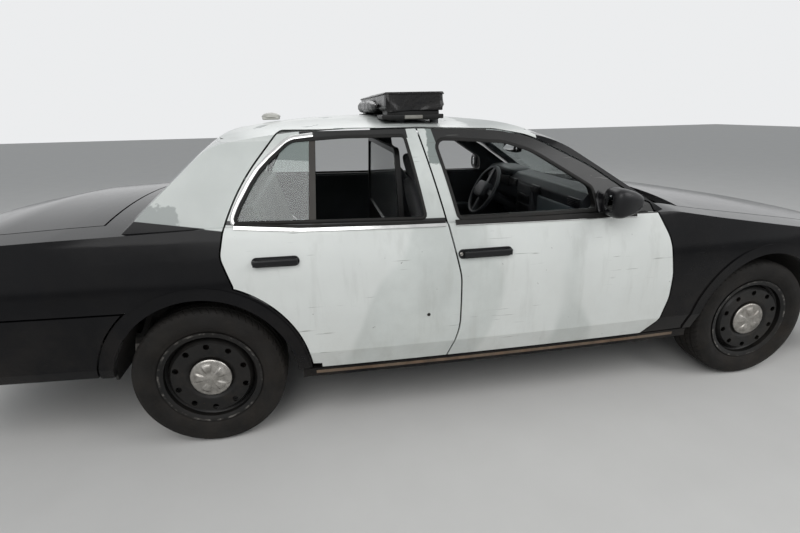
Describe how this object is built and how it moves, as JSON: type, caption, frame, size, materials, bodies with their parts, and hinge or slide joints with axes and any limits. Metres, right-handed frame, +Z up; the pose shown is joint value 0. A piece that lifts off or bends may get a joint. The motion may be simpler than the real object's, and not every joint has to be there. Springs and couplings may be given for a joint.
{
  "type": "police patrol car",
  "caption": "Full-size four-door patrol saloon in black and white with a covered roof light bar, a prisoner partition and steel wheels with domed caps.",
  "frame": {"origin": "on the ground in the middle of the car's length and width", "axes": "+X forward, +Y to the car's left, +Z up"},
  "size_m": [5.387, 2.136, 1.5899],
  "materials": {
    "black_paint": "gloss",
    "white_paint": "satin, worn",
    "frame_steel": "matt",
    "engine_metal": "matt",
    "glass": "clear",
    "lamp_glass": "clear",
    "red_lens": "gloss",
    "black_plastic": "matt",
    "chrome": "bright",
    "wheel_steel": "satin",
    "tyre_rubber": "dusty",
    "trim_plastic": "matt",
    "seat_fabric": "matt",
    "rear_seat_plastic": "moulded",
    "clear_plastic": "scratched",
    "cover_vinyl": "crinkled"
  },
  "bodies": {
    "body": {"roof_panel": "white_paint", "windshield": "glass", "rear_window": "glass", "side_frames": "black_paint", "front_fenders": "black_paint", "quarter_panels": "black_paint", "front_bumper": "black_paint", "rear_bumper": "black_paint", "headlamps": "lamp_glass", "tail_lamps": "red_lens", "grille": "black_plastic", "cowl_panel": "black_plastic", "floor_pan": "frame_steel", "firewall": "frame_steel", "boot_floor": "frame_steel", "ladder_frame": "frame_steel", "engine_block": "engine_metal", "radiator": "engine_metal", "exhaust": "engine_metal", "fuel_tank": "frame_steel", "rear_axle": "engine_metal", "suspension_arms": "frame_steel", "dashboard": "trim_plastic", "front_seats": "seat_fabric", "front_seat_backs": "seat_fabric", "rear_bench": "rear_seat_plastic", "parcel_shelf": "trim_plastic", "partition_frame": "frame_steel", "partition_screen": "clear_plastic", "light_bar": "trim_plastic", "light_bar_cover": "cover_vinyl", "roof_antenna": "black_plastic", "wipers": "black_plastic"},
    "hood": {"hood": "black_paint"},
    "trunk_lid": {"trunk_lid": "black_paint"},
    "door_front_left": {"door_front_left": "white_paint", "mirror_left": "black_plastic", "door_handle_front_left": "black_plastic"},
    "door_front_right": {"door_front_right": "white_paint", "mirror_right": "black_plastic", "door_handle_front_right": "black_plastic"},
    "door_rear_left": {"door_rear_left": "white_paint", "quarter_pane_left": "glass", "door_handle_rear_left": "black_plastic"},
    "door_rear_right": {"door_rear_right": "white_paint", "quarter_pane_right": "glass", "door_handle_rear_right": "black_plastic"},
    "knuckle_left": {"knuckle_left": "engine_metal"},
    "knuckle_right": {"knuckle_right": "engine_metal"},
    "steering_wheel": {"steering_wheel": "trim_plastic"},
    "wheel_front_left": {"rim_front_left": "wheel_steel", "tyre_front_left": "tyre_rubber"},
    "wheel_front_right": {"rim_front_right": "wheel_steel", "tyre_front_right": "tyre_rubber"},
    "wheel_rear_left": {"rim_rear_left": "wheel_steel", "tyre_rear_left": "tyre_rubber"},
    "wheel_rear_right": {"rim_rear_right": "wheel_steel", "tyre_rear_right": "tyre_rubber"}
  },
  "joints": [
    {"name": "hood_hinge", "type": "hinge", "parent": "body", "child": "hood", "pos_m": [1.165, 0, 0.966], "axis": [0, -1, 0], "range_deg": [0, 50]},
    {"name": "trunk_hinge", "type": "hinge", "parent": "body", "child": "trunk_lid", "pos_m": [-1.8, 0, 1.022], "axis": [0, 1, 0], "range_deg": [0, 75]},
    {"name": "door_front_left_hinge", "type": "hinge", "parent": "body", "child": "door_front_left", "pos_m": [0.936, 0.956, 0.635], "axis": [0, 0, -1], "range_deg": [0, 67]},
    {"name": "door_rear_left_hinge", "type": "hinge", "parent": "body", "child": "door_rear_left", "pos_m": [-0.165, 0.972, 0.635], "axis": [0, 0, -1], "range_deg": [0, 65]},
    {"name": "steer_left", "type": "hinge", "parent": "body", "child": "knuckle_left", "pos_m": [1.6265, 0.79, 0.345], "axis": [0, 0, 1], "range_deg": [-34, 34]},
    {"name": "spin_front_left", "type": "hinge", "parent": "knuckle_left", "child": "wheel_front_left", "pos_m": [1.6265, 0.805, 0.345], "axis": [0, 1, 0], "continuous": true},
    {"name": "spin_rear_left", "type": "hinge", "parent": "body", "child": "wheel_rear_left", "pos_m": [-1.2845, 0.83, 0.345], "axis": [0, 1, 0], "continuous": true},
    {"name": "door_front_right_hinge", "type": "hinge", "parent": "body", "child": "door_front_right", "pos_m": [0.936, -0.956, 0.635], "axis": [0, 0, 1], "range_deg": [0, 67]},
    {"name": "door_rear_right_hinge", "type": "hinge", "parent": "body", "child": "door_rear_right", "pos_m": [-0.165, -0.972, 0.635], "axis": [0, 0, 1], "range_deg": [0, 65]},
    {"name": "steer_right", "type": "hinge", "parent": "body", "child": "knuckle_right", "pos_m": [1.6265, -0.79, 0.345], "axis": [0, 0, 1], "range_deg": [-34, 34]},
    {"name": "spin_front_right", "type": "hinge", "parent": "knuckle_right", "child": "wheel_front_right", "pos_m": [1.6265, -0.805, 0.345], "axis": [0, 1, 0], "continuous": true},
    {"name": "spin_rear_right", "type": "hinge", "parent": "body", "child": "wheel_rear_right", "pos_m": [-1.2845, -0.83, 0.345], "axis": [0, 1, 0], "continuous": true},
    {"name": "steering_wheel_turn", "type": "hinge", "parent": "body", "child": "steering_wheel", "pos_m": [0.492, 0.4, 0.928], "axis": [-0.8792, 0, 0.4765], "range_deg": [-480, 480]}
  ],
  "couplings": [
    {"joint": "steer_right", "follows": "steer_left", "ratio": 1},
    {"joint": "steering_wheel_turn", "follows": "steer_left", "ratio": 14}
  ]
}
